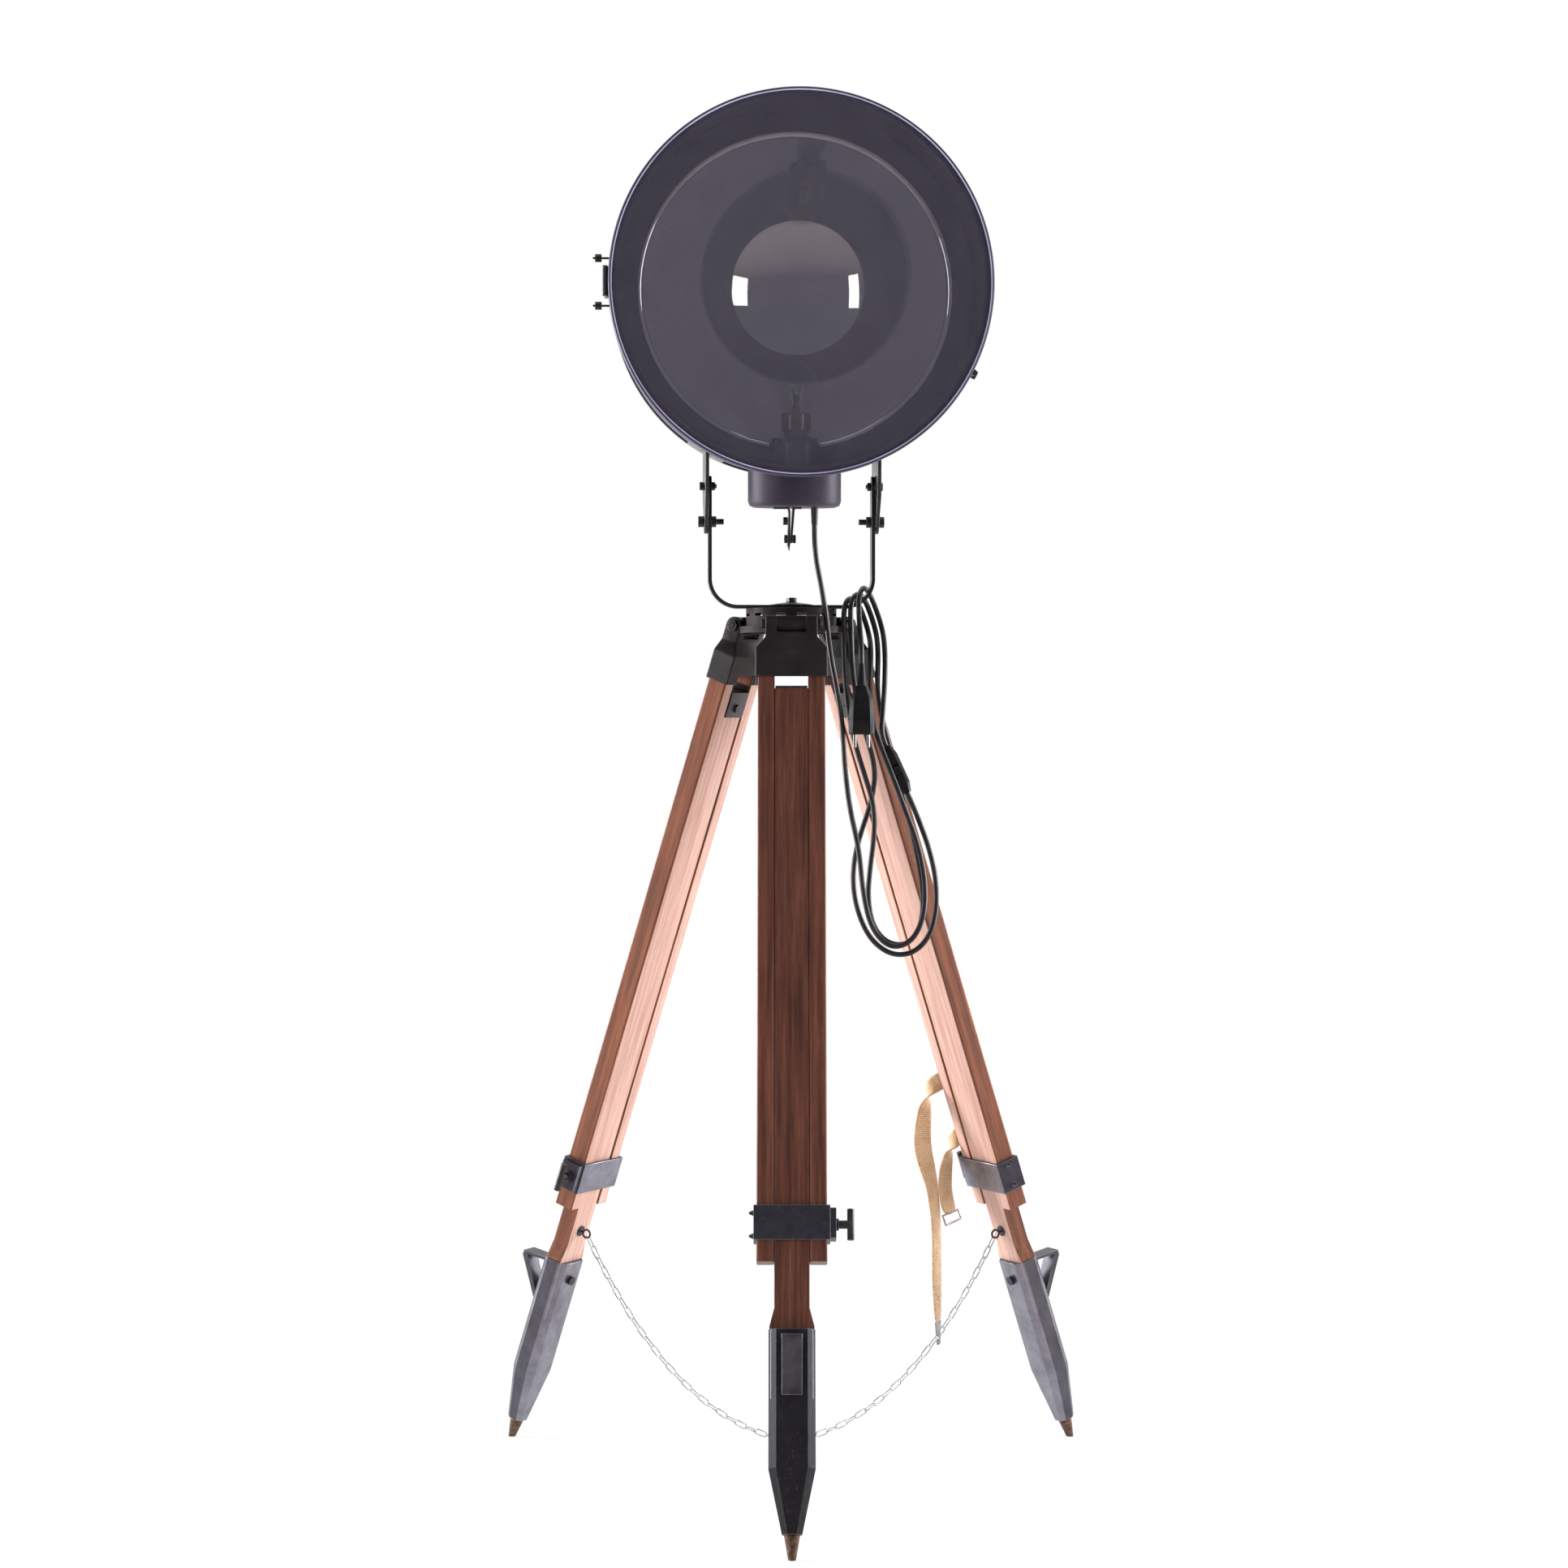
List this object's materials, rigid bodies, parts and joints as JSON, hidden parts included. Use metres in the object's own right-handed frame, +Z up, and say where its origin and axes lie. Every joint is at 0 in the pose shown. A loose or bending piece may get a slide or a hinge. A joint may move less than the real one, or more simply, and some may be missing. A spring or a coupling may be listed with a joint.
{
  "type": "tripod spotlight floor lamp",
  "caption": "Floor-standing spotlight: a deep round lamp head with a mirror and hinged front glass, tilting in a yoke on a wooden tripod with clamped sliding legs.",
  "frame": {"origin": "on the floor, under the middle of the tripod head", "axes": "+Z up; the front leg points towards -Y and the lamp faces -Y, turned a little towards +X; +X is to the right seen from the front"},
  "size_m": [0.8452, 0.7408, 1.9251],
  "materials": {
    "black_casting": "satin",
    "wood": "gloss",
    "dark_steel": "satin",
    "worn_steel": "satin",
    "bright_steel": "satin",
    "black_paint": "satin",
    "drum_paint": "satin",
    "mirror": "gloss",
    "clear_glass": "gloss",
    "bulb_glass": "gloss",
    "porcelain": "gloss",
    "brass": "satin",
    "cord_sheath": "matte",
    "black_plastic": "gloss",
    "webbing": "matte"
  },
  "bodies": {
    "tripod_head": {"tripod_head": "black_casting", "leg_pins": "dark_steel", "pan_bolt": "dark_steel", "chain_ring": "bright_steel"},
    "upper_leg_front": {"leg_head_front": "black_casting", "rails_front": "wood", "clamp_band_front": "dark_steel"},
    "clamp_screw_front": {"clamp_screw_front": "bright_steel"},
    "lower_leg_front": {"slide_front": "wood", "shoe_front": "dark_steel", "spike_front": "worn_steel", "step_front": "dark_steel", "leg_fittings_front": "bright_steel", "chain_front": "bright_steel"},
    "upper_leg_left": {"leg_head_left": "black_casting", "rails_left": "wood", "clamp_band_left": "dark_steel"},
    "clamp_screw_left": {"clamp_screw_left": "bright_steel"},
    "lower_leg_left": {"slide_left": "wood", "shoe_left": "dark_steel", "spike_left": "worn_steel", "step_left": "dark_steel", "leg_fittings_left": "bright_steel", "chain_left": "bright_steel"},
    "upper_leg_right": {"leg_head_right": "black_casting", "rails_right": "wood", "clamp_band_right": "dark_steel", "strap": "webbing", "strap_metal": "bright_steel"},
    "clamp_screw_right": {"clamp_screw_right": "bright_steel"},
    "lower_leg_right": {"slide_right": "wood", "shoe_right": "dark_steel", "spike_right": "worn_steel", "step_right": "dark_steel", "leg_fittings_right": "bright_steel", "chain_right": "bright_steel"},
    "yoke": {"yoke": "black_paint", "tilt_bolts": "bright_steel", "lock_bolts": "bright_steel", "mains_cord": "cord_sheath", "switch_body": "black_plastic", "plug_body": "black_plastic", "plug_pins": "bright_steel"},
    "lamp_head": {"drum": "drum_paint", "rear_cover": "drum_paint", "mirror": "mirror", "head_brackets": "black_paint", "socket_housing": "drum_paint", "bulb_pedestal": "drum_paint", "lamp_socket": "porcelain", "bulb_glass": "bulb_glass", "bulb_cap": "brass", "cord_gland": "cord_sheath", "clamp_hook": "black_paint", "bezel_hinge": "drum_paint", "bezel_studs": "brass"},
    "bezel": {"bezel_ring": "drum_paint", "front_glass": "clear_glass"},
    "bezel_latch": {"bezel_latch": "dark_steel"},
    "switch_rocker": {"switch_rocker": "black_plastic"}
  },
  "joints": [
    {"name": "leg_fold_front", "type": "hinge", "parent": "tripod_head", "child": "upper_leg_front", "pos_m": [0, -0.074, 1.205], "axis": [1, 0, 0], "range_deg": [0, 17], "deforming": ["chain_front"]},
    {"name": "leg_slide_front", "type": "slide", "parent": "upper_leg_front", "child": "lower_leg_front", "axis": [0, -0.3256, -0.9455], "range_m": [-0.012, 0.55], "deforming": ["chain_front"]},
    {"name": "clamp_turn_front", "type": "hinge", "parent": "upper_leg_front", "child": "clamp_screw_front", "pos_m": [0.06, -0.34172, 0.40752], "axis": [1, 0, 0], "continuous": true},
    {"name": "leg_fold_left", "type": "hinge", "parent": "tripod_head", "child": "upper_leg_left", "pos_m": [-0.06409, 0.037, 1.205], "axis": [-0.5, -0.866, 0], "range_deg": [0, 17], "deforming": ["chain_left"]},
    {"name": "leg_slide_left", "type": "slide", "parent": "upper_leg_left", "child": "lower_leg_left", "axis": [-0.2819, 0.1628, -0.9455], "range_m": [-0.012, 0.55], "deforming": ["chain_left"]},
    {"name": "clamp_turn_left", "type": "hinge", "parent": "upper_leg_left", "child": "clamp_screw_left", "pos_m": [-0.32594, 0.1189, 0.40752], "axis": [-0.5, -0.866, 0], "continuous": true},
    {"name": "leg_fold_right", "type": "hinge", "parent": "tripod_head", "child": "upper_leg_right", "pos_m": [0.06409, 0.037, 1.205], "axis": [-0.5, 0.866, 0], "range_deg": [0, 17], "deforming": ["chain_right", "strap", "strap_metal"]},
    {"name": "leg_slide_right", "type": "slide", "parent": "upper_leg_right", "child": "lower_leg_right", "axis": [0.2819, 0.1628, -0.9455], "range_m": [-0.012, 0.55], "deforming": ["chain_right"]},
    {"name": "clamp_turn_right", "type": "hinge", "parent": "upper_leg_right", "child": "clamp_screw_right", "pos_m": [0.26594, 0.22282, 0.40752], "axis": [-0.5, 0.866, 0], "continuous": true},
    {"name": "head_pan", "type": "hinge", "parent": "tripod_head", "child": "yoke", "pos_m": [0, 0, 1.2285], "axis": [0, 0, 1], "range_deg": [-15, 15], "deforming": ["mains_cord", "switch_body", "switch_rocker", "plug_body", "plug_pins"]},
    {"name": "head_tilt", "type": "hinge", "parent": "yoke", "child": "lamp_head", "pos_m": [0, 0, 1.351], "axis": [0.9976, 0.0698, 0], "range_deg": [-30, 33], "deforming": ["mains_cord"]},
    {"name": "bezel_swing", "type": "hinge", "parent": "lamp_head", "child": "bezel", "pos_m": [-0.25152, -0.21496, 1.66297], "axis": [0.0022, -0.0313, 0.9995], "range_deg": [-100, 0]},
    {"name": "latch_turn", "type": "hinge", "parent": "lamp_head", "child": "bezel_latch", "pos_m": [0.24325, -0.15761, 1.54559], "axis": [0.8878, 0.0764, -0.4538], "range_deg": [0, 90]},
    {"name": "switch_press", "type": "hinge", "parent": "yoke", "child": "switch_rocker", "pos_m": [0.14865, -0.0245, 1.001], "axis": [0.91, 0, 0.4145], "range_deg": [0, 14]}
  ]
}
